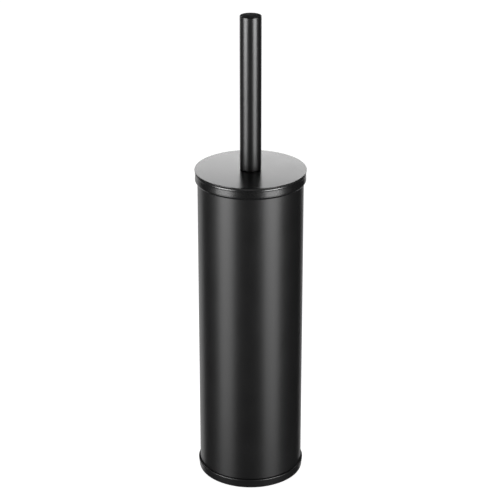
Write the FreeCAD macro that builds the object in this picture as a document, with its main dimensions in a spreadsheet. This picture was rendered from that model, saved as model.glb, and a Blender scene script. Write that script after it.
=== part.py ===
import FreeCAD, Part
import math
import os
import Sketcher

# Free-standing toilet brush holder: a tall painted steel tube on a shallow base cap, with a
# moulded collar and a drip liner, and a flat round lid that carries the handle and the brush.
# Millimetres, +Z up. The origin is the centre of the foot ring's underside, on the floor.

doc = FreeCAD.newDocument("toilet_brush_holder")


# ---------------------------------------------------------------- driving dimensions

SIZES = (
    ("holder_height", 268.5, "floor to the plane that the lid rests on"),
    ("tube_radius", 43.0, "outside of the holder's tube"),
    ("tube_wall", 0.6, "rolled steel sheet"),
    ("fit_gap", 0.05, "radial gap of a pressed or glued fit"),
    ("foot_thickness", 0.8, "non-slip ring"),
    ("foot_inset", 1.5, "foot ring's edge inside the tube's outside"),
    ("foot_width", 11.5, "non-slip ring, edge to edge"),
    ("base_sheet", 0.55, "drawn steel of the base cap"),
    ("base_height", 8.0, "base cap, underside to rim"),
    ("base_flare", 0.9, "how far the cap's skirt flares, foot to rim"),
    ("base_rim", 0.9, "cap's rolled rim, across"),
    ("base_corner", 1.6, "outer radius between the cap's floor and skirt"),
    ("collar_height", 8.3, "collar, top to curled foot"),
    ("collar_reach", 1.9, "band of the collar outside the tube"),
    ("collar_shoulder", 0.7, "radius at the collar's top edge"),
    ("collar_band", 0.9, "straight band below the top, shoulder included"),
    ("neck_depth", 0.2, "shallow neck between band and bead"),
    ("neck_rise", 0.6, "from the band's foot down to the neck"),
    ("bead_depth", 0.25, "bead beyond the neck"),
    ("bead_rise", 4.7, "from the neck down to the bead"),
    ("lip_reach", 1.0, "collar's lip inside the tube's bore"),
    ("lip_thickness", 1.0, "collar's lip over the tube's end"),
    ("rebate_wall", 2.2, "collar's wall outside the rebate for the liner"),
    ("flange_thickness", 1.3, "liner's flange in the rebate"),
    ("flange_gap", 0.2, "round the liner's flange"),
    ("liner_gap", 0.4, "liner's wall inside the collar's lip"),
    ("liner_wall", 1.2, "moulded liner"),
    ("liner_taper", 2.0, "how much narrower the liner is at its foot"),
    ("liner_floor", 1.4, "thickness of the liner's floor"),
    ("liner_lift", 2.6, "liner's foot above the base cap's floor"),
    ("liner_corner", 4.0, "outer radius at the liner's foot"),
    ("lid_overhang", 0.35, "lid beyond the collar's band"),
    ("lid_sheet", 0.8, "steel of the lid"),
    ("lid_edge_gap", 0.95, "lid's turned edge above the collar's top plane"),
    ("lid_rounding", 0.45, "radius of the lid's top edge"),
    ("gasket_thickness", 1.1, "soft ring under the lid"),
    ("gasket_width", 4.0, "soft ring, edge to edge"),
    ("insert_gap", 0.5, "lid's spigot inside the liner's mouth"),
    ("insert_wall", 1.4, "lid's spigot ring"),
    ("insert_floor", 1.2, "disc of the lid's insert"),
    ("insert_depth", 8.0, "spigot below the collar's top plane"),
    ("bush_wall", 1.0, "barrel of the lid's bush"),
    ("bush_cover_gap", 0.5, "bush's flange inside the handle's foot"),
    ("bush_flange_thickness", 0.5, "bush's flange on the lid"),
    ("bush_tail", 1.0, "bush below its nut"),
    ("nut_flats", 16.0, "bush nut across flats"),
    ("nut_height", 2.5, "bush nut"),
    ("thread_radius", 3.0, "threaded studs and their holes"),
    ("sleeve_wall", 0.95, "pivot sleeve on the stud"),
    ("running_gap", 0.05, "sleeve in the bush, radial"),
    ("end_play", 0.1, "lid between handle and washer, each side"),
    ("washer_radius", 7.5, "thrust washer under the bush"),
    ("washer_thickness", 1.2, "thrust washer"),
    ("handle_radius", 8.65, "outside of the handle's tube"),
    ("handle_wall", 1.0, "handle's tube"),
    ("handle_length", 126.9, "handle's foot to the crown of its cap"),
    ("handle_foot_gap", 0.2, "handle's foot above the lid"),
    ("handle_foot_rounding", 0.7, "radius round the handle's foot"),
    ("handle_top_rounding", 0.4, "radius round the handle's top edge"),
    ("cap_crown", 0.3, "domed cap above the end of the handle's tube"),
    ("cap_depth", 7.0, "cap inside the handle's tube"),
    ("plug_length", 18.0, "threaded plugs in the tubes' ends"),
    ("plug_chamfer", 0.5, "chamfer of the plugs"),
    ("stud_reach", 14.0, "how far a stud screws into a plug"),
    ("rod_radius", 6.0, "outside of the lower rod"),
    ("rod_wall", 0.8, "lower rod's tube"),
    ("head_gap", 1.8, "bristles inside the liner at its foot"),
    ("head_height", 82.0, "over the bristles"),
    ("head_lift", 3.0, "bristle tips above the liner's floor"),
    ("head_rounding", 14.0, "radius round the foot of the bristles"),
    ("head_slope", 4.0, "fall of the bristles' top towards the outside"),
    ("bristle_gap", 0.3, "bristle volume off the core"),
    ("bottom_bristle", 14.0, "bristles below the core's dome"),
    ("core_radius", 11.0, "moulded core of the head"),
    ("neck_radius", 8.5, "core's neck under the rod"),
    ("neck_height", 12.0, "core's neck above the bristles"),
    ("neck_cone", 6.0, "cone between core and neck"),
    ("core_thread", 20.0, "threaded hole down into the core"),
)

sheet = doc.addObject("Spreadsheet::Sheet", "Sizes")
for row, (alias, value, meaning) in enumerate(SIZES, start=1):
    sheet.set(f"A{row}", alias)
    sheet.set(f"B{row}", str(value))
    sheet.setAlias(f"B{row}", alias)
    sheet.set(f"C{row}", meaning)
doc.recompute()


class Size:
    """A length together with the sheet expression that it comes from."""

    def __init__(self, value, text):
        self.value = value
        self.text = text

    def joined(self, sign, other, result):
        return Size(result, f"({self.text} {sign} {other.text})")

    def __add__(self, other):
        other = as_size(other)
        return self.joined("+", other, self.value + other.value)

    def __sub__(self, other):
        other = as_size(other)
        return self.joined("-", other, self.value - other.value)

    def __mul__(self, other):
        other = as_size(other)
        return self.joined("*", other, self.value * other.value)

    def __truediv__(self, other):
        other = as_size(other)
        return self.joined("/", other, self.value / other.value)


def as_size(number):
    return number if isinstance(number, Size) else Size(number, str(number))


def size(alias):
    return Size(float(sheet.get(alias)), f"Sizes.{alias}")


ZERO = Size(0.0, "0")


# ---------------------------------------------------------------- ways of making a piece

made = []


def new_body(name):
    body = doc.addObject("PartDesign::Body", name)
    body.Label = name
    made.append(body)
    return body


def origin_plane(body, role):
    return next(item for item in body.Origin.OriginFeatures if item.Role == role)


def new_sketch(body, name, role, height=None):
    sketch = body.newObject("Sketcher::SketchObject", name)
    sketch.AttachmentSupport = (origin_plane(body, role), "")
    sketch.MapMode = "FlatFace"
    if height is not None:
        sketch.setExpression("AttachmentOffset.Base.z", height.text)
    return sketch


def arc_geometry(start, end, radius):
    """Counter-clockwise arc, under half a turn, from start to end."""
    chord = end - start
    rise = math.sqrt(max(radius ** 2 - chord.Length ** 2 / 4, 0.0))
    left = FreeCAD.Vector(-chord.y, chord.x, 0).normalize()
    centre = (start + end) / 2 + left * rise
    first = math.atan2(start.y - centre.y, start.x - centre.x)
    last = math.atan2(end.y - centre.y, end.x - centre.x)
    circle = Part.Circle(centre, FreeCAD.Vector(0, 0, 1), radius)
    return Part.ArcOfCircle(circle, first, last)


def place_point(sketch, side, end, across, up):
    """Ties one end of a side to the sheet: its distance from the axis and its height."""
    for kind, axis, length in (("DistanceX", -2, across), ("DistanceY", -1, up)):
        if length.value == 0:
            sketch.addConstraint(Sketcher.Constraint("PointOnObject", side, end, axis))
            continue
        rule = Sketcher.Constraint(kind, -1, 1, side, end, length.value)
        number = sketch.addConstraint(rule)
        sketch.setExpression(f"Constraints[{number}]", length.text)


def outline(body, name, corners, arcs=None):
    """Closed outline through (radius, height) corners on the XZ plane.

    arcs gives, for the number of a side, its radius and its turn: 1 is counter-clockwise.
    """
    arcs = arcs or {}
    sketch = new_sketch(body, name, "XZ_Plane")
    points = [FreeCAD.Vector(across.value, up.value, 0) for across, up in corners]
    starts = []
    ends = []
    for side, start in enumerate(points):
        end = points[(side + 1) % len(points)]
        if side not in arcs:
            sketch.addGeometry(Part.LineSegment(start, end), False)
            starts.append(1)
            ends.append(2)
            continue
        radius, turn = arcs[side]
        first, last = (start, end) if turn > 0 else (end, start)
        sketch.addGeometry(arc_geometry(first, last, radius.value), False)
        starts.append(1 if turn > 0 else 2)
        ends.append(2 if turn > 0 else 1)
        number = sketch.addConstraint(Sketcher.Constraint("Radius", side, radius.value))
        sketch.setExpression(f"Constraints[{number}]", radius.text)
    for side, (across, up) in enumerate(corners):
        after = (side + 1) % len(corners)
        meet = Sketcher.Constraint("Coincident", side, ends[side], after, starts[after])
        sketch.addConstraint(meet)
        place_point(sketch, side, starts[side], across, up)
    return sketch


def turned(name, corners, arcs=None):
    """A piece of revolution about the Z axis."""
    body = new_body(name)
    sketch = outline(body, name + "_outline", corners, arcs)
    solid = body.newObject("PartDesign::Revolution", name + "_turned")
    solid.Profile = sketch
    solid.ReferenceAxis = (sketch, ["V_Axis"])
    solid.Angle = 360
    sketch.Visibility = False
    doc.recompute()
    return body


def circle_sketch(body, name, height, radii):
    sketch = new_sketch(body, name, "XY_Plane", height)
    for number, radius in enumerate(radii):
        circle = Part.Circle(FreeCAD.Vector(), FreeCAD.Vector(0, 0, 1), radius.value)
        sketch.addGeometry(circle, False)
        sketch.addConstraint(Sketcher.Constraint("Coincident", number, 3, -1, 1))
        rule = sketch.addConstraint(Sketcher.Constraint("Radius", number, radius.value))
        sketch.setExpression(f"Constraints[{rule}]", radius.text)
    return sketch


def padded(name, bottom, height, outer, inner=None):
    """A round bar, or a ring if inner is given, standing on the height bottom."""
    body = new_body(name)
    radii = [outer] if inner is None else [outer, inner]
    sketch = circle_sketch(body, name + "_section", bottom, radii)
    solid = body.newObject("PartDesign::Pad", name + "_pad")
    solid.Profile = sketch
    solid.setExpression("Length", height.text)
    doc.recompute()
    return body


def edges_at(shape, radius, height):
    """Names of the circular edges of that radius at that height."""
    names = []
    for number, edge in enumerate(shape.Edges, start=1):
        if edge.Degenerated or not isinstance(edge.Curve, Part.Circle):
            continue
        same_radius = abs(edge.Curve.Radius - radius.value) < 1e-4
        if same_radius and abs(edge.Curve.Center.z - height.value) < 1e-4:
            names.append(f"Edge{number}")
    return names


def dressed(body, kind, where, amount):
    """Fillet or Chamfer on the circular edges given as (radius, height)."""
    base = body.Tip
    names = []
    for radius, height in where:
        found = edges_at(base.Shape, radius, height)
        if not found:
            raise ValueError(f"{body.Label}: no edge at {radius.value}, {height.value}")
        names += found
    feature = body.newObject(f"PartDesign::{kind}", f"{body.Label}_{kind.lower()}")
    feature.Base = (base, names)
    prop = "Radius" if kind == "Fillet" else "Size"
    feature.setExpression(prop, amount.text)
    doc.recompute()


def drilled(body, height, radius, depth, upward):
    """Blind threaded hole on the axis, from a face at that height."""
    sketch = circle_sketch(body, body.Label + "_hole_centre", height, [radius])
    before = body.Shape.Volume
    hole = body.newObject("PartDesign::Hole", body.Label + "_hole")
    hole.Profile = sketch
    doc.recompute()
    hole.DepthType = "Dimension"
    hole.DrillPoint = "Flat"
    hole.Reversed = upward
    hole.setExpression("Diameter", (radius * 2).text)
    hole.setExpression("Depth", depth.text)
    doc.recompute()
    taken = before - body.Shape.Volume
    wanted = math.pi * radius.value ** 2 * depth.value
    if abs(taken - wanted) > 0.02 * wanted:
        raise ValueError(f"{body.Label}: the hole takes {taken:.1f}, not {wanted:.1f}")


def threaded_plug(name, bottom, radius, faces_up):
    """Turned steel plug with a threaded hole from the face that the stud enters."""
    length = size("plug_length")
    body = padded(name, bottom, length, radius)
    top = bottom + length
    dressed(body, "Chamfer", [(radius, bottom), (radius, top)], size("plug_chamfer"))
    mouth = top if faces_up else bottom
    drilled(body, mouth, thread, size("stud_reach") + stud_room, not faces_up)
    return body


def stud(name, bottom, top):
    body = padded(name, bottom, top - bottom, stud_radius)
    dressed(body, "Chamfer", [(stud_radius, bottom), (stud_radius, top)], size("plug_chamfer"))
    return body


# ---------------------------------------------------------------- shared planes and radii

gap = size("fit_gap")
seat_z = size("holder_height")
tube_outer = size("tube_radius")
tube_inner = tube_outer - size("tube_wall")
thread = size("thread_radius")
stud_radius = thread - gap
stud_room = size("end_play") * 10

# Heights in the base: foot ring, cap floor, liner floor.
cap_floor_z = size("foot_thickness") + size("base_sheet")
liner_foot_z = cap_floor_z + size("liner_lift")
liner_floor_z = liner_foot_z + size("liner_floor")

# The collar's rebate takes the liner's flange, flush with the plane the lid rests on.
rebate_z = seat_z - size("flange_thickness")
tube_top_z = rebate_z - size("lip_thickness")
collar_bore = tube_outer + gap
band_radius = tube_outer + size("collar_reach")
rebate_radius = band_radius - size("rebate_wall")
lip_radius = tube_inner - size("lip_reach")
liner_top_radius = lip_radius - size("liner_gap")
liner_mouth_radius = liner_top_radius - size("liner_wall")
liner_foot_radius = liner_top_radius - size("liner_taper")
liner_bore_radius = liner_foot_radius - size("liner_wall")

# The sleeve runs on the stud, the bush round the sleeve, and the plate round the bush.
handle_bore = size("handle_radius") - size("handle_wall")
sleeve_bore = thread + gap
sleeve_radius = sleeve_bore + size("sleeve_wall")
bush_bore = sleeve_radius + size("running_gap")
bush_radius = bush_bore + size("bush_wall")
bush_hole = bush_radius + gap

# The lid lies on its gasket, and the bush clamps the insert under the plate.
plate_under_z = seat_z + size("gasket_thickness")
lid_top_z = plate_under_z + size("lid_sheet")
insert_under_z = plate_under_z - size("insert_floor")
lid_radius = band_radius + size("lid_overhang")
nut_under_z = insert_under_z - size("nut_height")
bush_foot_z = nut_under_z - size("bush_tail")
bush_top_z = lid_top_z + size("bush_flange_thickness")

# The stud pulls handle plug, sleeve, washer and rod together, and the lid is free between.
sleeve_foot_z = bush_foot_z - size("end_play")
plug_foot_z = bush_top_z + size("end_play")
rod_top_z = sleeve_foot_z - size("washer_thickness")
handle_foot_z = lid_top_z + size("handle_foot_gap")
handle_end_z = handle_foot_z + size("handle_length") - size("cap_crown")
rod_bore = size("rod_radius") - size("rod_wall")

# The head hangs just above the liner's floor.
head_foot_z = liner_floor_z + size("head_lift")
head_top_z = head_foot_z + size("head_height")
core_foot_z = head_foot_z + size("bottom_bristle")
core_top_z = head_top_z + size("neck_height")


# ---------------------------------------------------------------- holder

def make_foot_ring():
    outer = tube_outer - size("foot_inset")
    padded("foot_ring", ZERO, size("foot_thickness"), outer, outer - size("foot_width"))


def make_base_cap():
    sheet_wall = size("base_sheet")
    under = size("foot_thickness")
    rim = under + size("base_height")
    foot_inner = tube_outer + gap
    foot_outer = foot_inner + sheet_wall
    rim_outer = foot_outer + size("base_flare")
    corners = [
        (ZERO, under),
        (foot_outer, under),
        (foot_outer, under + size("base_corner")),
        (rim_outer, rim),
        (rim_outer - size("base_rim"), rim),
        (foot_inner, under + size("base_corner")),
        (foot_inner, cap_floor_z),
        (ZERO, cap_floor_z),
    ]
    body = turned("base_cap", corners)
    dressed(body, "Fillet", [(foot_outer, under)], size("base_corner") - gap)
    dressed(body, "Fillet", [(foot_inner, cap_floor_z)], size("base_corner") - sheet_wall - gap)


def make_outer_tube():
    foot = size("foot_thickness") + size("base_corner")
    padded("outer_tube", foot, tube_top_z - foot, tube_outer, tube_inner)


def quarter(across, along):
    """Radius of an arc that starts along the wall and moves across by its first argument."""
    return (across * across + along * along) / (across * 2)


def make_top_collar():
    shoulder = size("collar_shoulder")
    band_foot_z = seat_z - size("collar_band")
    neck_z = band_foot_z - size("neck_rise")
    neck = band_radius - size("neck_depth")
    bead_z = neck_z - size("bead_rise")
    bead = neck + size("bead_depth")
    foot_z = seat_z - size("collar_height")
    half_neck = size("neck_depth") / 2
    half_neck_rise = size("neck_rise") / 2
    half_bead = size("bead_depth") / 2
    half_bead_rise = size("bead_rise") / 2
    corners = [
        (collar_bore, foot_z),
        (bead, bead_z),
        (neck + half_bead, bead_z + half_bead_rise),
        (neck, neck_z),
        (neck + half_neck, neck_z + half_neck_rise),
        (band_radius, band_foot_z),
        (band_radius, seat_z - shoulder),
        (band_radius - shoulder, seat_z),
        (rebate_radius, seat_z),
        (rebate_radius, rebate_z),
        (lip_radius, rebate_z),
        (lip_radius, tube_top_z),
        (collar_bore, tube_top_z),
    ]
    arcs = {
        0: (quarter(bead - collar_bore, bead_z - foot_z), 1),
        1: (quarter(half_bead, half_bead_rise), 1),
        2: (quarter(half_bead, half_bead_rise), -1),
        3: (quarter(half_neck, half_neck_rise), -1),
        4: (quarter(half_neck, half_neck_rise), 1),
        6: (shoulder, 1),
    }
    turned("top_collar", corners, arcs)


def make_inner_liner():
    flange = rebate_radius - size("flange_gap")
    corners = [
        (ZERO, liner_foot_z),
        (liner_foot_radius, liner_foot_z),
        (liner_top_radius, rebate_z),
        (flange, rebate_z),
        (flange, seat_z),
        (liner_mouth_radius, seat_z),
        (liner_bore_radius, liner_floor_z),
        (ZERO, liner_floor_z),
    ]
    body = turned("inner_liner", corners)
    corner = size("liner_corner")
    dressed(body, "Fillet", [(liner_foot_radius, liner_foot_z)], corner)
    dressed(body, "Fillet", [(liner_bore_radius, liner_floor_z)], corner - size("liner_wall"))


# ---------------------------------------------------------------- lid

def make_lid_plate():
    edge_z = seat_z + size("lid_edge_gap")
    edge_inner = lid_radius - size("lid_sheet")
    corners = [
        (bush_hole, plate_under_z),
        (edge_inner, plate_under_z),
        (edge_inner, edge_z),
        (lid_radius, edge_z),
        (lid_radius, lid_top_z),
        (bush_hole, lid_top_z),
    ]
    body = turned("lid_plate", corners)
    dressed(body, "Fillet", [(lid_radius, lid_top_z)], size("lid_rounding"))


def make_lid_gasket():
    outer = lid_radius - size("lid_sheet") - gap
    inner = outer - size("gasket_width")
    padded("lid_gasket", seat_z, size("gasket_thickness"), outer, inner)


def make_lid_insert():
    outer = liner_mouth_radius - size("insert_gap")
    inner = outer - size("insert_wall")
    foot_z = seat_z - size("insert_depth")
    corners = [
        (bush_hole, insert_under_z),
        (inner, insert_under_z),
        (inner, foot_z),
        (outer, foot_z),
        (outer, plate_under_z),
        (bush_hole, plate_under_z),
    ]
    body = turned("lid_insert", corners)
    dressed(body, "Chamfer", [(outer, foot_z)], size("insert_wall") / 2)


def make_lid_bush():
    flange = handle_bore - size("bush_cover_gap")
    corners = [
        (bush_bore, bush_foot_z),
        (bush_radius, bush_foot_z),
        (bush_radius, lid_top_z),
        (flange, lid_top_z),
        (flange, bush_top_z),
        (bush_bore, bush_top_z),
    ]
    turned("lid_bush", corners)


def make_bush_nut():
    blank = doc.addObject("Part::Prism", "bush_nut_blank")
    blank.Polygon = 6
    across_corners = size("nut_flats") / 2 / round(math.cos(math.pi / 6), 6)
    blank.setExpression("Circumradius", across_corners.text)
    blank.setExpression("Height", size("nut_height").text)
    hole = doc.addObject("Part::Cylinder", "bush_nut_hole")
    hole.setExpression("Radius", bush_hole.text)
    hole.setExpression("Height", size("nut_height").text)
    for item in (blank, hole):
        item.setExpression("Placement.Base.z", nut_under_z.text)
    nut = doc.addObject("Part::Cut", "bush_nut")
    nut.Label = "bush_nut"
    nut.Base = blank
    nut.Tool = hole
    made.append(nut)


# ---------------------------------------------------------------- handle, stud and rod

def make_handle_tube():
    outer = size("handle_radius")
    length = handle_end_z - handle_foot_z
    body = padded("handle_tube", handle_foot_z, length, outer, handle_bore)
    dressed(body, "Fillet", [(outer, handle_foot_z)], size("handle_foot_rounding"))
    dressed(body, "Fillet", [(outer, handle_end_z)], size("handle_top_rounding"))


def make_handle_cap():
    radius = handle_bore - gap
    crown = size("cap_crown")
    foot_z = handle_end_z - size("cap_depth")
    corners = [
        (ZERO, foot_z),
        (radius, foot_z),
        (radius, handle_end_z),
        (ZERO, handle_end_z + crown),
    ]
    body = turned("handle_cap", corners, {2: (quarter(crown, radius), 1)})
    dressed(body, "Chamfer", [(radius, foot_z)], size("plug_chamfer"))


def make_joint_hardware():
    threaded_plug("handle_plug", plug_foot_z, handle_bore - gap, faces_up=False)
    stud("tie_stud", rod_top_z - size("stud_reach"), plug_foot_z + size("stud_reach"))
    length = plug_foot_z - sleeve_foot_z
    padded("pivot_sleeve", sleeve_foot_z, length, sleeve_radius, sleeve_bore)
    washer = size("washer_radius")
    padded("thrust_washer", rod_top_z, size("washer_thickness"), washer, sleeve_bore)


def make_rod():
    padded("rod_tube", core_top_z, rod_top_z - core_top_z, size("rod_radius"), rod_bore)
    plug = rod_bore - gap
    threaded_plug("rod_top_plug", rod_top_z - size("plug_length"), plug, faces_up=True)
    threaded_plug("rod_bottom_plug", core_top_z, plug, faces_up=False)
    reach = size("stud_reach")
    stud("head_stud", core_top_z - reach, core_top_z + reach)


# ---------------------------------------------------------------- brush head

def make_brush_core():
    radius = size("core_radius")
    neck = size("neck_radius")
    thread_foot_z = core_top_z - size("core_thread")
    corners = [
        (ZERO, core_foot_z),
        (radius, core_foot_z + radius),
        (radius, head_top_z),
        (neck, head_top_z + size("neck_cone")),
        (neck, core_top_z),
        (thread, core_top_z),
        (thread, thread_foot_z),
        (ZERO, thread_foot_z),
    ]
    turned("brush_core", corners, {0: (radius, 1)})


def make_bristles():
    outer = liner_bore_radius - size("head_gap")
    inner = size("core_radius") + size("bristle_gap")
    rounding = size("head_rounding")
    dome_z = core_foot_z + size("core_radius")
    corners = [
        (ZERO, head_foot_z),
        (outer - rounding, head_foot_z),
        (outer, head_foot_z + rounding),
        (outer, head_top_z - size("head_slope")),
        (inner, head_top_z),
        (inner, dome_z),
        (ZERO, dome_z - inner),
    ]
    turned("bristles", corners, {1: (rounding, 1), 5: (inner, -1)})


make_foot_ring()
make_base_cap()
make_outer_tube()
make_top_collar()
make_inner_liner()
make_lid_plate()
make_lid_gasket()
make_lid_insert()
make_lid_bush()
make_bush_nut()
make_handle_tube()
make_handle_cap()
make_joint_hardware()
make_rod()
make_brush_core()
make_bristles()
doc.recompute()


# ---------------------------------------------------------------- test and write

for item in doc.Objects:
    if "Invalid" in item.State or "Error" in item.State:
        raise ValueError(f"{item.Name} failed: {item.State}")
for piece in made:
    if piece.Shape.isNull() or not piece.Shape.isValid() or not piece.Shape.Solids:
        raise ValueError(f"{piece.Label} has no valid solid")

os.makedirs("parts", exist_ok=True)
for piece in made:
    piece.Shape.exportStep(f"parts/{piece.Label}.step")
    box = piece.Shape.optimalBoundingBox()
    print(f"{piece.Label}: {piece.Shape.Volume:.1f} mm3, z {box.ZMin:.2f} to {box.ZMax:.2f}")
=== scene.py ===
import bmesh
import bpy
import math
from mathutils import Matrix, Vector


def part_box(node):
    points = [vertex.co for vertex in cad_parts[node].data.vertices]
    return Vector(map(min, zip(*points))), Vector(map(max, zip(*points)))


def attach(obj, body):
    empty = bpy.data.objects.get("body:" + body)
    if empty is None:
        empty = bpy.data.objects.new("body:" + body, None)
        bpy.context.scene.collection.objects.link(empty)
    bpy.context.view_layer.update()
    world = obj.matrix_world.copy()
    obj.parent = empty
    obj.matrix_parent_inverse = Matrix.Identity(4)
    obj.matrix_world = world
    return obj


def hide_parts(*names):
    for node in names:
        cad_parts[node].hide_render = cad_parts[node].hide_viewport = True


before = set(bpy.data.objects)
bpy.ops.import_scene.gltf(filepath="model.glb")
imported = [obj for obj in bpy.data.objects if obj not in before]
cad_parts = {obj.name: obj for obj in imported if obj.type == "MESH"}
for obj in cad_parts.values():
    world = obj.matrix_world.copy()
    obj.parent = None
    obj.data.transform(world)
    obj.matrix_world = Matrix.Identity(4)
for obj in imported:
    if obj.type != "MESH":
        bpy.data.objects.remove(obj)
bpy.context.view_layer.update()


# ---------------------------------------------------------------- outer tube
# The holder's body is thin steel sheet rolled into a long tube and welded down the back.
# It is coated inside and out with a fine-grained satin black paint.

MM = 0.001


class Value:
    """One output of a node, with arithmetic that adds the Math nodes for it."""

    def __init__(self, graph, socket):
        self.graph = graph
        self.socket = socket

    def math(self, operation, *terms):
        return self.graph.node("ShaderNodeMath", {"operation": operation}, dict(enumerate(terms)))

    def __add__(self, other):
        return self.math("ADD", self, other)

    def __sub__(self, other):
        return self.math("SUBTRACT", self, other)

    def __rsub__(self, other):
        return self.math("SUBTRACT", other, self)

    def __mul__(self, other):
        return self.math("MULTIPLY", self, other)

    def __truediv__(self, other):
        return self.math("DIVIDE", self, other)

    def __rtruediv__(self, other):
        return self.math("DIVIDE", other, self)

    __radd__ = __add__
    __rmul__ = __mul__


class Graph:
    """Node tree under construction. Every node comes from the one method node()."""

    def __init__(self, tree):
        self.tree = tree

    def node(self, kind, settings=None, inputs=None, output=0):
        made = self.tree.nodes.new(kind)
        for name, setting in (settings or {}).items():
            setattr(made, name, setting)
        for key, value in (inputs or {}).items():
            for term in value if isinstance(value, list) else [value]:
                if isinstance(term, Value):
                    self.tree.links.new(term.socket, made.inputs[key])
                else:
                    made.inputs[key].default_value = term
        if not len(made.outputs):
            return made
        return Value(self, made.outputs[output])


class Finish(Graph):
    """A material: one Principled shader, and the nodes that vary it over the surface."""

    def __init__(self, name, **shader):
        self.material = bpy.data.materials.new(name)
        self.material.use_nodes = True
        super().__init__(self.material.node_tree)
        self.tree.nodes.clear()
        self.place = self.node("ShaderNodeTexCoord", output="Object")
        self.shader_inputs = shader

    def stretched(self, scale):
        """Places squeezed or drawn out along each axis, for a pattern with a direction."""
        settings = {"vector_type": "POINT"}
        return self.node("ShaderNodeMapping", settings, {"Vector": self.place, "Scale": scale})

    def noise(self, scale, detail=2.0, at=None):
        inputs = {"Vector": at or self.place, "Scale": scale, "Detail": detail}
        return self.node("ShaderNodeTexNoise", None, inputs)

    def blend(self, amount, first, second):
        settings = {"data_type": "RGBA"}
        inputs = {"Factor": amount, 6: (*first, 1), 7: (*second, 1)}
        return self.node("ShaderNodeMix", settings, inputs, output=2)

    def relief(self, height, distance, strength=1.0):
        inputs = {"Height": height, "Distance": distance, "Strength": strength}
        return self.node("ShaderNodeBump", None, inputs)

    def done(self, **varying):
        shader = self.node("ShaderNodeBsdfPrincipled", None, {**self.shader_inputs, **varying})
        self.node("ShaderNodeOutputMaterial", None, {"Surface": shader})
        return self.material


def satin_paint(name, shade, roughness, specular):
    """Sprayed satin coat: fine orange-peel grain, faint cloudiness in its gloss."""
    finish = Finish(name, **{"Specular IOR Level": specular})
    clouds = finish.noise(45.0, 3.0)
    grain = finish.noise(2600.0, 2.0)
    peel = finish.noise(700.0, 2.0)
    colour = finish.blend(clouds, shade, [channel * 1.35 for channel in shade])
    gloss = roughness - 0.03 + 0.06 * clouds + 0.04 * grain
    height = grain * 0.35 + peel * 0.65
    normal = finish.relief(height, 0.02 * MM, 0.35)
    return finish.done(**{"Base Color": colour, "Roughness": gloss, "Normal": normal})


BLACK = (0.0045, 0.0045, 0.0047)
body_paint = satin_paint("satin_black_paint", BLACK, 0.32, 0.5)
SHARP_TURN = math.radians(3)


class Builder(Graph):
    """A Geometry Nodes tree whose inputs are named sizes."""

    def __init__(self, name):
        super().__init__(bpy.data.node_groups.new(name, "GeometryNodeTree"))
        self.name = name
        self.entry = self.tree.nodes.new("NodeGroupInput")
        self.values = {}

    def size(self, name, value, kind="NodeSocketFloat"):
        socket = self.tree.interface.new_socket(name, in_out="INPUT", socket_type=kind)
        self.values[socket.identifier] = value
        return Value(self, self.entry.outputs[name])

    def mesh(self, geometry, finish, piece):
        """Runs the tree once and returns its result as a plain mesh object of one finish."""
        settings = {"in_out": "OUTPUT", "socket_type": "NodeSocketGeometry"}
        self.tree.interface.new_socket("Geometry", **settings)
        material = self.size("Finish", finish, "NodeSocketMaterial")
        plain = self.node("GeometryNodeRealizeInstances", None, {"Geometry": geometry})
        inputs = {"Geometry": plain, "Material": material}
        painted = self.node("GeometryNodeSetMaterial", None, inputs)
        self.node("NodeGroupOutput", None, {"Geometry": painted})
        carrier = bpy.data.objects.new(self.name, bpy.data.meshes.new(self.name))
        bpy.context.scene.collection.objects.link(carrier)
        modifier = carrier.modifiers.new(self.name, "NODES")
        modifier.node_group = self.tree
        for identifier, value in self.values.items():
            modifier[identifier] = value
        graph = bpy.context.evaluated_depsgraph_get()
        result = bpy.data.meshes.new_from_object(carrier.evaluated_get(graph))
        bpy.data.objects.remove(carrier)
        result.name = piece
        result.materials.clear()
        result.materials.append(finish)
        result.polygons.foreach_set("material_index", [0] * len(result.polygons))
        result.shade_smooth()
        result.set_sharp_from_angle(angle=SHARP_TURN)
        shell = bpy.data.objects.new(piece, result)
        bpy.context.scene.collection.objects.link(shell)
        return shell


def rolled_tube(piece, node, wall, edge, finish, around=192):
    """Tube wall swept round a circle, with softened edges, in the box of a CAD node."""
    low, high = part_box(node)
    build = Builder(piece + "_rule")
    radius = build.size("Outside Radius", high.x)
    thickness = build.size("Wall", wall)
    foot = build.size("Foot", low.z)
    top = build.size("Top", high.z)
    rounding = build.size("Edge Rounding", edge)
    facets = build.size("Facets Around", around, "NodeSocketInt")
    middle = radius - thickness / 2
    ring = build.node("GeometryNodeCurvePrimitiveCircle", {"mode": "RADIUS"},
                      {"Resolution": facets, "Radius": middle})
    section = build.node("GeometryNodeCurvePrimitiveQuadrilateral", {"mode": "RECTANGLE"},
                         {"Width": thickness, "Height": top - foot})
    soft = build.node("GeometryNodeFilletCurve", {"mode": "POLY"},
                      {"Curve": section, "Radius": rounding, "Count": 10})
    wall_mesh = build.node("GeometryNodeCurveToMesh", None, {"Curve": ring, "Profile Curve": soft})
    lift = build.node("ShaderNodeCombineXYZ", None, {"Z": (foot + top) / 2})
    placed = build.node("GeometryNodeTransform", None, {"Geometry": wall_mesh, "Translation": lift})
    return build.mesh(placed, finish, piece)


def fitted(piece, body, slot, *stood_for):
    """Fixes a finished piece to its body, in place of the plain solids that it stands for."""
    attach(piece, body)
    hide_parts(*stood_for)


TUBE_WALL = 0.6 * MM
TUBE_EDGE = 0.2 * MM
tube = rolled_tube("tube_shell", "outer_tube", TUBE_WALL, TUBE_EDGE, body_paint)
fitted(tube, "holder", "black_paint", "outer_tube")
tube_low, tube_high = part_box("outer_tube")


# ---------------------------------------------------------------- base cap
# A shallow cup drawn from steel sheet and pressed on the tube's foot. Its skirt flares a
# little, so that the rim stands off the tube, and it has the same satin coat.

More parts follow.
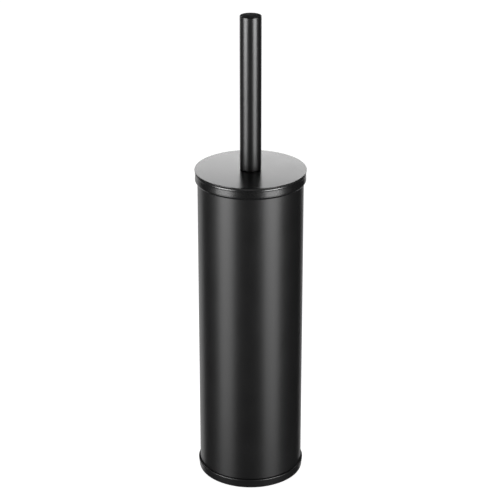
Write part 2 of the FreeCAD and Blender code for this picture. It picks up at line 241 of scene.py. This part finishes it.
def softened(outline, steps=8, guard=0.03 * MM):
    """Points round a closed outline of (radius, height, rounding) corners, arcs worked out."""
    points = []
    for number, (across, up, rounding) in enumerate(outline):
        corner = Vector((across, up))
        if not rounding:
            points.append(corner)
            continue
        before = (Vector(outline[number - 1][:2]) - corner).normalized()
        after = (Vector(outline[(number + 1) % len(outline)][:2]) - corner).normalized()
        half = before.angle(after) / 2
        reach = rounding / math.tan(half)
        centre = corner + (before + after).normalized() * rounding / math.sin(half)
        first = (corner + before * reach - centre).normalized()
        last = (corner + after * reach - centre).normalized()
        points.append(corner + before * (reach + guard))
        for step in range(steps + 1):
            points.append(centre + first.slerp(last, step / steps) * rounding)
        points.append(corner + after * (reach + guard))
    return points


ON_AXIS = 1e-7
CREASE = math.radians(35)


def turned(piece, outline, finish, around=192):
    """Solid of revolution about the upright axis, closed at the axis where it reaches it."""
    shell = bmesh.new()
    rings = []
    for point in softened(outline):
        across, up = point
        if across < ON_AXIS:
            rings.append([shell.verts.new((0, 0, up))] * around)
            continue
        turns = [math.tau * facet / around for facet in range(around)]
        rings.append([
            shell.verts.new((across * math.cos(turn), across * math.sin(turn), up))
            for turn in turns
        ])
    for lower, upper in zip(rings, rings[1:] + rings[:1]):
        for facet in range(around):
            after = (facet + 1) % around
            around_face = [lower[facet], lower[after], upper[after], upper[facet]]
            corners = list(dict.fromkeys(around_face))
            if len(corners) > 2:
                shell.faces.new(corners)
    bmesh.ops.recalc_face_normals(shell, faces=shell.faces)
    mesh = bpy.data.meshes.new(piece)
    shell.to_mesh(mesh)
    shell.free()
    mesh.shade_smooth()
    mesh.set_sharp_from_angle(angle=CREASE)
    mesh.materials.append(finish)
    solid = bpy.data.objects.new(piece, mesh)
    bpy.context.scene.collection.objects.link(solid)
    return solid


cap_low, cap_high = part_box("base_cap")
CAP_SHEET = 0.55 * MM
CAP_FLARE = 0.9 * MM
CAP_RIM = 0.9 * MM
CAP_CORNER = 1.5 * MM
CAP_INNER_CORNER = 0.9 * MM
cap_skirt = cap_high.x - CAP_FLARE
cap_floor = cap_low.z + CAP_SHEET
base_cap = turned("base_cap_shell", [
    (0, cap_low.z, 0),
    (cap_skirt, cap_low.z, CAP_CORNER),
    (cap_high.x, cap_high.z, 0.75 * MM),
    (cap_high.x - CAP_RIM, cap_high.z, 0.12 * MM),
    (cap_skirt - CAP_SHEET, tube_low.z, 0),
    (cap_skirt - CAP_SHEET, cap_floor, CAP_INNER_CORNER),
    (0, cap_floor, 0),
], body_paint)
fitted(base_cap, "holder", "black_paint", "base_cap")


# ---------------------------------------------------------------- foot ring
# A flat ring of soft black rubber, die-cut and glued under the base cap, so that the
# holder doesn't slide on tiles.

def coated(node, finish):
    """Gives a plain solid of the design its finish."""
    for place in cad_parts[node].material_slots:
        place.material = finish


def soft_rubber(name, shade):
    """Die-cut rubber: dull, slightly pitted, with pale dust in the pits."""
    finish = Finish(name, **{"Specular IOR Level": 0.35})
    pits = finish.noise(900.0, 4.0)
    dust = finish.noise(60.0, 3.0)
    colour = finish.blend(dust, shade, [channel * 1.8 for channel in shade])
    normal = finish.relief(pits, 0.08 * MM, 0.6)
    gloss = 0.72 + 0.16 * pits
    return finish.done(**{"Base Color": colour, "Roughness": gloss, "Normal": normal})


rubber = soft_rubber("pitted_foot_rubber", (0.018, 0.018, 0.018))
coated("foot_ring", rubber)


# ---------------------------------------------------------------- top collar
# A moulded ring pushed over the tube's mouth. It leans in a little under the lid, and below
# that come a plain band, a shallow neck and a long bead that curls in to the tube. It is
# painted satin black like the tube, a shade glossier.

collar_low, collar_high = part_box("top_collar")
collar_paint = satin_paint("collar_satin_black", (0.0050, 0.0050, 0.0052), 0.25, 0.5)
BAND = collar_high.x - 0.05 * MM
LEAN = 0.13 * MM
LEAN_HEIGHT = 0.7 * MM
NECK = BAND - 0.2 * MM
BORE = tube_high.x + 0.05 * MM
REBATE = BAND - 2.2 * MM
LIP = tube_high.x - TUBE_WALL - 1.0 * MM
rebate_z = collar_high.z - 1.3 * MM
neck_z = collar_high.z - 1.5 * MM
bead_z = neck_z - 4.7 * MM
collar = turned("collar_ring", [
    (BORE, collar_low.z, 0),
    (BORE + 0.7 * MM, collar_low.z, 0.2 * MM),
    (collar_high.x, bead_z - 0.7 * MM, 1.4 * MM),
    (collar_high.x, bead_z + 0.6 * MM, 3.0 * MM),
    (NECK, neck_z, 0.6 * MM),
    (BAND, neck_z + 0.4 * MM, 0.35 * MM),
    (BAND, collar_high.z - LEAN_HEIGHT, 0.8 * MM),
    (BAND - LEAN, collar_high.z, 0.15 * MM),
    (REBATE, collar_high.z, 0.15 * MM),
    (REBATE, rebate_z, 0),
    (LIP, rebate_z, 0.2 * MM),
    (LIP, tube_high.z, 0),
    (BORE, tube_high.z, 0),
], collar_paint)
fitted(collar, "holder", "collar_plastic", "top_collar")


# ---------------------------------------------------------------- inner liner
# A deep tapered cup moulded in dark polypropylene. It hangs by its flange in the collar's
# rebate, catches the drips, and lifts out to be rinsed.

def moulded_plastic(name, shade, roughness, streak=0.0):
    """Injection-moulded plastic: faint flow marks, fine spark-eroded grain."""
    finish = Finish(name, **{"Specular IOR Level": 0.45})
    flow = finish.noise(30.0, 3.0, finish.stretched((1.0, 1.0, 0.25)))
    grain = finish.noise(1800.0, 2.0)
    colour = finish.blend(flow, [channel * 0.85 for channel in shade], shade)
    gloss = roughness + streak * flow + 0.05 * grain
    normal = finish.relief(grain, 0.03 * MM, 0.3)
    return finish.done(**{"Base Color": colour, "Roughness": gloss, "Normal": normal})


liner_low, liner_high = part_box("inner_liner")
LINER_WALL = 1.2 * MM
LINER_FLOOR = 1.4 * MM
LINER_TAPER = 2.0 * MM
liner_top = LIP - 0.4 * MM
liner_foot = liner_top - LINER_TAPER
liner = turned("liner_cup", [
    (0, liner_low.z, 0),
    (liner_foot, liner_low.z, 4.0 * MM),
    (liner_top, rebate_z, 0),
    (liner_high.x, rebate_z, 0.2 * MM),
    (liner_high.x, liner_high.z, 0.3 * MM),
    (liner_top - LINER_WALL, liner_high.z, 0.5 * MM),
    (liner_foot - LINER_WALL, liner_low.z + LINER_FLOOR, 2.8 * MM),
    (0, liner_low.z + LINER_FLOOR, 0),
], moulded_plastic("liner_polypropylene", (0.045, 0.046, 0.048), 0.38, 0.08))
fitted(liner, "holder", "liner_plastic", "inner_liner")


# ---------------------------------------------------------------- lid plate
# The lid is one disc pressed from thin steel with its edge turned down and its foot eased
# inwards, and coated in the same satin black, a shade glossier. It overhangs the collar by
# a third of a millimetre.

lid_low, lid_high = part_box("lid_plate")
lid_paint = satin_paint("lid_satin_black", BLACK, 0.23, 0.5)
LID_SHEET = 0.8 * MM
LID_HOLE = 5.1 * MM
LID_EDGE = 0.25 * MM
LID_EASE_IN = 0.5 * MM
LID_EASE_UP = 0.4 * MM
lid = turned("lid_disc", [
    (LID_HOLE, lid_high.z - LID_SHEET, 0),
    (lid_high.x - LID_SHEET, lid_high.z - LID_SHEET, 0),
    (lid_high.x - LID_SHEET, lid_low.z, 0),
    (lid_high.x - LID_EASE_IN, lid_low.z, 0),
    (lid_high.x, lid_low.z + LID_EASE_UP, LID_EDGE),
    (lid_high.x, lid_high.z, LID_EDGE),
    (LID_HOLE, lid_high.z, 0),
], lid_paint, around=256)
fitted(lid, "lid", "black_paint", "lid_plate")


# ---------------------------------------------------------------- under the lid
# A soft gasket ring keeps the lid quiet, a moulded spigot centres it in the liner's mouth,
# and a flanged nylon bush with a flat hexagon nut clamps them to the plate.

# The gasket is black rubber, made darker still as painted shade, so that the gap under the lid's
# edge reads as a dark line.
coated("lid_gasket", soft_rubber("soft_gasket_rubber", (0.008, 0.008, 0.008)))
coated("lid_insert", moulded_plastic("moulded_spigot_plastic", (0.03, 0.03, 0.032), 0.42, 0.06))
nylon = moulded_plastic("natural_nylon", (0.72, 0.70, 0.63), 0.40, 0.10)
coated("lid_bush", nylon)
coated("bush_nut", nylon)


# ---------------------------------------------------------------- handle
# A straight steel tube, coated satin black, with a dull plastic cap pushed into its top end.
# Its foot stands on the lid with a hair's breadth of play.

handle_low, handle_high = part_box("handle_tube")
HANDLE_WALL = 1.0 * MM
handle_paint = satin_paint("handle_satin_black", BLACK, 0.31, 0.5)
handle = turned("handle_shell", [
    (handle_high.x - HANDLE_WALL, handle_low.z, 0.1 * MM),
    (handle_high.x, handle_low.z, 0.7 * MM),
    (handle_high.x, handle_high.z, 0.4 * MM),
    (handle_high.x - HANDLE_WALL, handle_high.z, 0.1 * MM),
], handle_paint, around=128)
fitted(handle, "brush", "black_paint", "handle_tube")
coated("handle_cap", moulded_plastic("matt_cap_plastic", (0.02, 0.02, 0.021), 0.62, 0.05))


# ---------------------------------------------------------------- hidden fixings
# Zinc-plated turned steel: threaded plugs in the tubes' ends, studs, the sleeve that runs in
# the bush, and the washer under it.

WAVE_LENGTH = 0.314


def plated_steel(name, shade, pitch=None):
    """Turned and zinc-plated: ring-shaped tool marks, and a thread's grooves where it has one."""
    finish = Finish(name, Metallic=1.0)
    tarnish = finish.noise(140.0, 3.0)
    rings = finish.noise(900.0, 2.0, finish.stretched((0.05, 0.05, 4.0)))
    height = rings
    if pitch:
        settings = {"wave_type": "BANDS", "bands_direction": "Z"}
        turns = {"Vector": finish.place, "Scale": WAVE_LENGTH / pitch}
        height = rings * 0.1 + finish.node("ShaderNodeTexWave", settings, turns, output=1)
    colour = finish.blend(tarnish, shade, [channel * 0.8 for channel in shade])
    normal = finish.relief(height, (pitch or 0.1 * MM) * 0.4, 0.5)
    gloss = 0.24 + 0.2 * tarnish
    return finish.done(**{"Base Color": colour, "Roughness": gloss, "Normal": normal})


plain_zinc = plated_steel("zinc_plated_steel", (0.60, 0.60, 0.59))
threaded_zinc = plated_steel("zinc_plated_thread", (0.60, 0.60, 0.59), pitch=1.0 * MM)
for fixing in "handle_plug", "rod_top_plug", "rod_bottom_plug", "pivot_sleeve", "thrust_washer":
    coated(fixing, plain_zinc)
for fixing in "tie_stud", "head_stud":
    coated(fixing, threaded_zinc)


# ---------------------------------------------------------------- lower rod
# A plain stainless tube between the lid and the head, polished lengthwise with a belt, so
# that its fine scratches run up and down.

def belt_polished(name, shade):
    """Steel polished on a belt: long fine scratches, a little duller where it is handled."""
    finish = Finish(name, Metallic=1.0, Anisotropic=0.4)
    scratches = finish.noise(2200.0, 3.0, finish.stretched((1.0, 1.0, 0.012)))
    wear = finish.noise(50.0, 2.0)
    colour = finish.blend(scratches, shade, [channel * 0.88 for channel in shade])
    gloss = 0.20 + 0.14 * scratches + 0.06 * wear
    normal = finish.relief(scratches, 0.02 * MM, 0.4)
    return finish.done(**{"Base Color": colour, "Roughness": gloss, "Normal": normal})


stainless = belt_polished("belt_polished_stainless", (0.60, 0.595, 0.585))
ROD_WALL = 0.8 * MM
ROD_EDGE = 0.2 * MM
rod = rolled_tube("rod_shell", "rod_tube", ROD_WALL, ROD_EDGE, stainless, around=160)
fitted(rod, "brush", "rod_steel", "rod_tube")


# ---------------------------------------------------------------- brush core
# One polypropylene moulding: a round-nosed cylinder with a coned neck and a collar under the
# rod, screwed on the stud. Every tuft of bristles is stapled into a hole in it.

core_low, core_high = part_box("brush_core")
bristle_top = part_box("bristles")[1].z
core_paint = moulded_plastic("core_polypropylene", (0.022, 0.022, 0.023), 0.30, 0.08)
THREAD = 3.0 * MM
THREAD_DEPTH = 20.0 * MM
CORE_NECK = 8.5 * MM
CORE_CONE = 6.0 * MM
core_nose = core_high.x * 0.998
core = turned("core_moulding", [
    (0, core_low.z, 0),
    (core_high.x, core_low.z, core_nose),
    (core_high.x, bristle_top, 2.0 * MM),
    (CORE_NECK, bristle_top + CORE_CONE, 1.5 * MM),
    (CORE_NECK, core_high.z, 1.0 * MM),
    (THREAD, core_high.z, 0.3 * MM),
    (THREAD, core_high.z - THREAD_DEPTH, 0),
    (0, core_high.z - THREAD_DEPTH, 0),
], core_paint, around=96)
fitted(core, "brush", "core_plastic", "brush_core")


# ---------------------------------------------------------------- bristles
# Stiff white nylon filaments, folded in tufts of about twenty and stapled into the core:
# staggered rings up the cylinder, and a spiral of shorter tufts over its round nose.

def nylon_bristle(name):
    """Each filament has its own tone, a little yellower in some, with a soft sheen."""
    finish = Finish(name, **{"Specular IOR Level": 0.5, "IOR": 1.53})
    tone = finish.node("ShaderNodeAttribute", {"attribute_name": "tone"}, output=2)
    colour = finish.blend(tone, (0.80, 0.80, 0.77), (0.93, 0.93, 0.91))
    gloss = 0.34 + 0.16 * tone
    normal = finish.relief(finish.noise(1500.0, 1.0), 0.02 * MM, 0.2)
    return finish.done(**{"Base Color": colour, "Roughness": gloss, "Normal": normal})


GOLDEN_TURN = 2.39996


def tuft_rule(build):
    """One tuft of upright filaments that fan out a little from a small round root."""
    count = build.size("Filaments", 20, "NodeSocketInt")
    thickness = build.size("Filament Radius", 0.24 * MM)
    spread = build.size("Tuft Radius", 1.5 * MM)
    splay = build.size("Splay", 0.24)
    length = build.size("Filament Length", 24.6 * MM)
    seed = build.size("Seed", 7, "NodeSocketInt")
    bar = build.node("GeometryNodeMeshCylinder", {"fill_type": "NGON"},
                     {"Vertices": 4, "Side Segments": 3, "Radius": thickness, "Depth": length})
    spot = build.node("GeometryNodeInputPosition")
    rise = build.node("ShaderNodeSeparateXYZ", None, {"Vector": spot}, output=2) + length / 2
    share = rise / length
    sag = build.node("ShaderNodeCombineXYZ", None, {"X": share * share * length * 0.07,
                                                    "Z": length / 2})
    bent = build.node("GeometryNodeSetPosition", None, {"Geometry": bar, "Offset": sag})
    index = build.node("GeometryNodeInputIndex")
    angle = index * GOLDEN_TURN
    reach = build.node("ShaderNodeMath", {"operation": "SQRT"}, {0: (index + 0.5) / count})
    cosine = build.node("ShaderNodeMath", {"operation": "COSINE"}, {0: angle})
    sine = build.node("ShaderNodeMath", {"operation": "SINE"}, {0: angle})
    root = build.node("ShaderNodeCombineXYZ", None,
                      {"X": spread * reach * cosine, "Y": spread * reach * sine})
    places = build.node("GeometryNodePoints", None, {"Count": count, "Position": root})
    lean = build.node("ShaderNodeCombineXYZ", None, {"Y": splay * reach, "Z": angle})
    cut = build.node("FunctionNodeRandomValue", {"data_type": "FLOAT"},
                     {2: 0.955, 3: 1.0, "ID": index, "Seed": seed}, output=1)
    stretch = build.node("ShaderNodeCombineXYZ", None, {"X": 1.0, "Y": 1.0, "Z": cut})
    bunch = build.node("GeometryNodeInstanceOnPoints", None,
                       {"Points": places, "Instance": bent, "Rotation": lean, "Scale": stretch})
    twist = build.node("FunctionNodeRandomValue", {"data_type": "FLOAT"},
                       {2: 0.0, 3: math.tau, "ID": index, "Seed": seed + 1}, output=1)
    spin = build.node("ShaderNodeCombineXYZ", None, {"Z": twist})
    spun = build.node("GeometryNodeRotateInstances", None,
                      {"Instances": bunch, "Rotation": spin, "Local Space": True})
    tone = build.node("FunctionNodeRandomValue", {"data_type": "FLOAT"},
                      {2: 0.0, 3: 1.0, "ID": index, "Seed": seed + 2}, output=1)
    return build.node("GeometryNodeStoreNamedAttribute",
                      {"data_type": "FLOAT", "domain": "INSTANCE"},
                      {"Geometry": spun, "Name": "tone", "Value": tone}), seed


def planted(build, tuft, count, place, turn, stretch, seed):
    """Tufts set at the places, turned outwards, each spun and leant a little at random."""
    points = build.node("GeometryNodePoints", None, {"Count": count, "Position": place})
    rooted = build.node("GeometryNodeInstanceOnPoints", None,
                        {"Points": points, "Instance": tuft, "Rotation": turn, "Scale": stretch})
    jitter = build.node("FunctionNodeRandomValue", {"data_type": "FLOAT_VECTOR"},
                        {0: (-0.05, -0.05, 0.0), 1: (0.05, 0.05, math.tau), "Seed": seed + 3})
    return build.node("GeometryNodeRotateInstances", None,
                      {"Instances": rooted, "Rotation": jitter, "Local Space": True})


def bristle_head(piece, finish):
    """Staggered rings of tufts up the core, and a spiral of trimmed ones over its nose."""
    build = Builder("tufted_head_rule")
    radius = build.size("Core Radius", core_high.x - 0.6 * MM)
    foot = build.size("First Ring Height", core_low.z + core_high.x + 1.0 * MM)
    pitch = build.size("Ring Pitch", 4.6 * MM)
    rings = build.size("Rings", 12, "NodeSocketInt")
    around = build.size("Tufts Around", 16, "NodeSocketInt")
    nose = build.size("Nose Tufts", 30, "NodeSocketInt")
    nose_z = build.size("Nose Centre Height", core_low.z + core_high.x)
    cover = build.size("Nose Cover", 0.80)
    level = build.size("Nose Trim Level", 0.58)
    longest = build.size("Nose Longest", 0.96)
    tuft, seed = tuft_rule(build)
    index = build.node("GeometryNodeInputIndex")
    ring = build.node("ShaderNodeMath", {"operation": "FLOOR"}, {0: index / around})
    stagger = build.node("ShaderNodeMath", {"operation": "MODULO"}, {0: ring, 1: 2.0})
    angle = (index + stagger * 0.5) * math.tau / around
    cosine = build.node("ShaderNodeMath", {"operation": "COSINE"}, {0: angle})
    sine = build.node("ShaderNodeMath", {"operation": "SINE"}, {0: angle})
    place = build.node("ShaderNodeCombineXYZ", None,
                       {"X": radius * cosine, "Y": radius * sine, "Z": foot + ring * pitch})
    turn = build.node("ShaderNodeCombineXYZ", None, {"Y": math.pi / 2, "Z": angle})
    total = rings * around
    sides = planted(build, tuft, total, place, turn, (1.0, 1.0, 1.0), seed)
    spiral = index * GOLDEN_TURN
    drop = 1.0 - (index + 0.5) / nose * cover
    polar = build.node("ShaderNodeMath", {"operation": "ARCCOSINE"}, {0: drop})
    wide = build.node("ShaderNodeMath", {"operation": "SINE"}, {0: polar})
    cosine = build.node("ShaderNodeMath", {"operation": "COSINE"}, {0: spiral})
    sine = build.node("ShaderNodeMath", {"operation": "SINE"}, {0: spiral})
    place = build.node("ShaderNodeCombineXYZ", None,
                       {"X": radius * wide * cosine, "Y": radius * wide * sine,
                        "Z": nose_z - radius * drop})
    turn = build.node("ShaderNodeCombineXYZ", None, {"Y": math.pi - polar, "Z": spiral})
    trimmed = build.node("ShaderNodeMath", {"operation": "MINIMUM"}, {0: level / drop, 1: longest})
    stretch = build.node("ShaderNodeCombineXYZ", None, {"X": 1.0, "Y": 1.0, "Z": trimmed})
    below = planted(build, tuft, nose, place, turn, stretch, seed)
    both = build.node("GeometryNodeJoinGeometry", None, {"Geometry": [sides, below]})
    return build.mesh(both, finish, piece)


bristles = bristle_head("bristle_tufts", nylon_bristle("nylon_bristle"))
fitted(bristles, "brush", "bristle_fibre", "bristles")


# ---------------------------------------------------------------- studio
# A pale seamless floor, a bright panel behind, and one tall pair of soft panels to each side
# of the camera, which leave a dark core between two soft upright streaks.

def floor_slab(reach, finish):
    """One square sheet that the object stands on."""
    slab = bmesh.new()
    corners = [(-reach, -reach, 0), (reach, -reach, 0), (reach, reach, 0), (-reach, reach, 0)]
    slab.faces.new([slab.verts.new(corner) for corner in corners])
    mesh = bpy.data.meshes.new("floor")
    slab.to_mesh(mesh)
    slab.free()
    mesh.materials.append(finish)
    slab_object = bpy.data.objects.new("floor", mesh)
    bpy.context.scene.collection.objects.link(slab_object)
    return slab_object


def pale_sweep(name, shade, glow):
    """Matt white card with an even glow of its own, which keeps it white under the object."""
    finish = Finish(name, **{"Emission Strength": glow})
    fibres = finish.noise(25.0, 4.0)
    colour = finish.blend(fibres, [shade] * 3, [shade * 0.97] * 3)
    return finish.done(**{"Base Color": colour, "Emission Color": (1, 1, 1, 1), "Roughness": 0.9})


floor = floor_slab(30.0, pale_sweep("pale_floor", 0.42, 0.97))
floor.visible_glossy = False
floor.visible_shadow = False


def softbox(name, place, aim, width, height, radiance, glossy=True, diffuse=True):
    """Rectangular area light of even radiance that faces the point aim."""
    light = bpy.data.lights.new(name, "AREA")
    light.shape = "RECTANGLE"
    light.size = width
    light.size_y = height
    light.energy = radiance * width * height * math.pi
    lamp = bpy.data.objects.new(name, light)
    facing = (Vector(aim) - Vector(place)).to_track_quat("-Z", "Y")
    lamp.matrix_world = Matrix.Translation(place) @ facing.to_matrix().to_4x4()
    lamp.visible_camera = False
    lamp.visible_glossy = glossy
    lamp.visible_diffuse = diffuse
    bpy.context.scene.collection.objects.link(lamp)
    return lamp


STRIP_AWAY = 1.1
STRIP_WIDTH = 0.66
STRIP_PANELS = (("upper", 0.09, 0.38, 22.0, False), ("lower", -0.55, 0.10, 3.1, True))
for side, degrees in (("left", -54.0), ("right", 46.0)):
    turn = math.radians(degrees)
    across, along = STRIP_AWAY * math.sin(turn), -STRIP_AWAY * math.cos(turn)
    for panel, foot, top, glow, fill in STRIP_PANELS:
        middle = (foot + top) / 2
        softbox("_".join((side, panel)), (across, along, middle), (0, 0, middle),
                STRIP_WIDTH, top - foot, glow, diffuse=fill)
softbox("backdrop_glow", (-0.04, 0.36, 0.365), (-0.04, 0, 0.365), 0.9, 0.13, 3.75)
softbox("sweep_glow", (-0.5, 1.5, -0.7), (-0.5, 0, -0.7), 2.8, 1.3, 0.8)
softbox("overhead", (0, 0, 2.4), (0, 0, 0), 3.0, 3.0, 1.0, glossy=False)

world = bpy.data.worlds.new("studio_air")
bpy.context.scene.world = world
world.use_nodes = True
air = Graph(world.node_tree)
air.tree.nodes.clear()
seen = air.node("ShaderNodeLightPath")
bright = air.node("ShaderNodeBackground", None, {"Color": (1, 1, 1, 1), "Strength": 1.0})
dim = air.node("ShaderNodeBackground", None, {"Color": (1, 1, 1, 1), "Strength": 0.03})
shown = air.node("ShaderNodeMixShader", None, {0: seen, 1: dim, 2: bright})
air.node("ShaderNodeOutputWorld", None, {"Surface": shown})

camera = bpy.data.cameras.new("camera")
camera.lens = 128.75
camera.sensor_width = 36.0
camera.clip_end = 100.0
eye = bpy.data.objects.new("camera", camera)
eye.location = (-0.00048, -1.3505, 0.7694)
eye.rotation_euler = (math.radians(67.118), 0, 0)
bpy.context.scene.collection.objects.link(eye)
bpy.context.scene.camera = eye
bpy.context.scene.view_settings.view_transform = "Standard"
